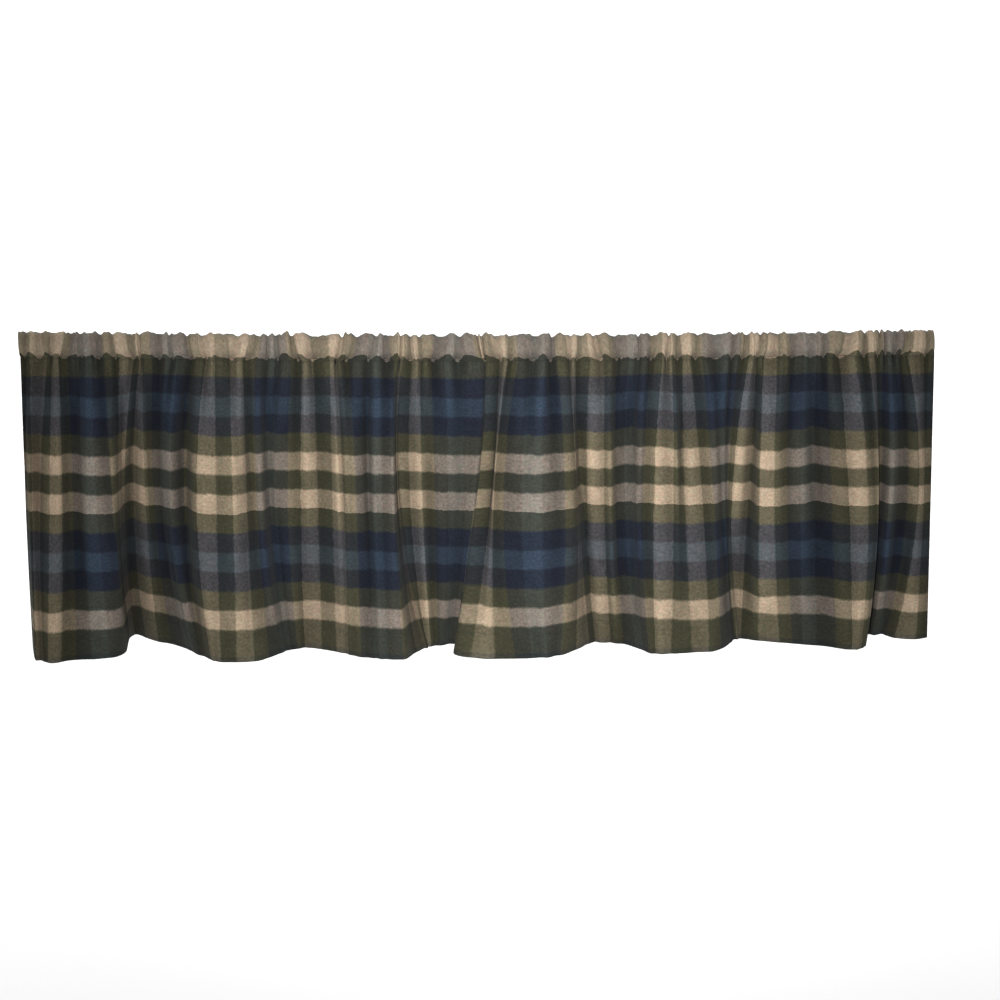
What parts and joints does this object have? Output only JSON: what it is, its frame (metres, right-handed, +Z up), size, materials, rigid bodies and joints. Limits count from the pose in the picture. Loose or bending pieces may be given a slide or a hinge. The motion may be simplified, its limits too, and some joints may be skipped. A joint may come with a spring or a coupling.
{
  "type": "window valance",
  "caption": "Short gathered window valance of plaid cotton: a skirt hanging in soft uneven folds below a rod pocket that is open at both ends.",
  "frame": {"origin": "middle of the valance's top edge, at the lowest point of the rod line", "axes": "+X along the window, to the right as seen from the room; +Y from the room towards the window; +Z up"},
  "size_m": [1.1285, 0.1015, 0.4108],
  "materials": {
    "plaid_cloth": "matt brushed cotton, woven plaid of cream, olive, slate blue and navy"
  },
  "bodies": {
    "root": {"skirt": "plaid_cloth", "rod_pocket": "plaid_cloth"}
  },
  "joints": []
}
